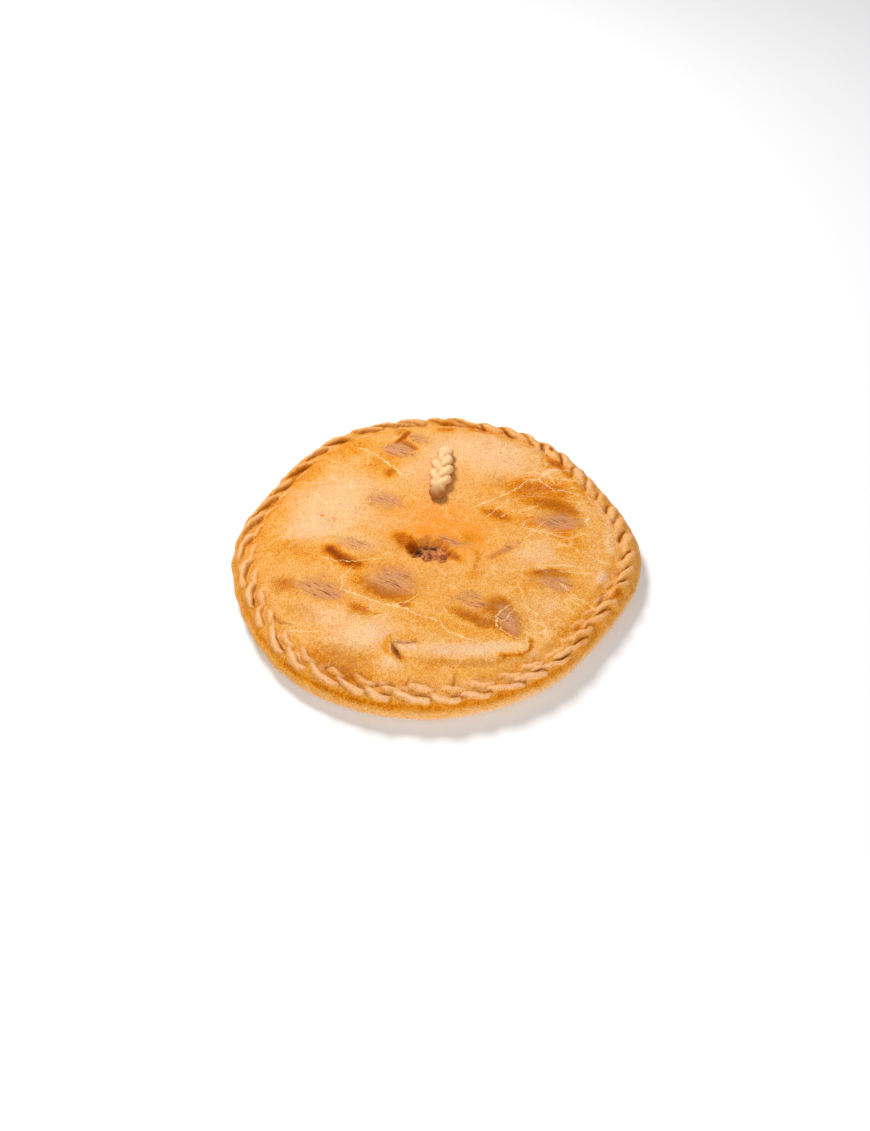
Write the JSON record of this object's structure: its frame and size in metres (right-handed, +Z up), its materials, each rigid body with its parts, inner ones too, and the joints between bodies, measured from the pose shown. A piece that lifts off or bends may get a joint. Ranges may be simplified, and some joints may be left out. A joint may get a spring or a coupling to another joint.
{
  "type": "empanada",
  "caption": "Round baked pie with a low golden dome, a twisted rope edge, blisters, a torn steam vent showing the filling and a small dough plait on the lid.",
  "frame": {"origin": "on the flat base, under the middle of the pie's outline", "axes": "+Z up out of the lid, +Y away from the viewer of the picture, towards the plait, +X to the viewer's right"},
  "size_m": [0.303, 0.3042, 0.0374],
  "materials": {
    "crust": "satin",
    "filling": "satin",
    "plait_dough": "matte"
  },
  "bodies": {
    "root": {"crust": "crust", "filling": "filling", "dough_plait": "plait_dough"}
  },
  "joints": []
}
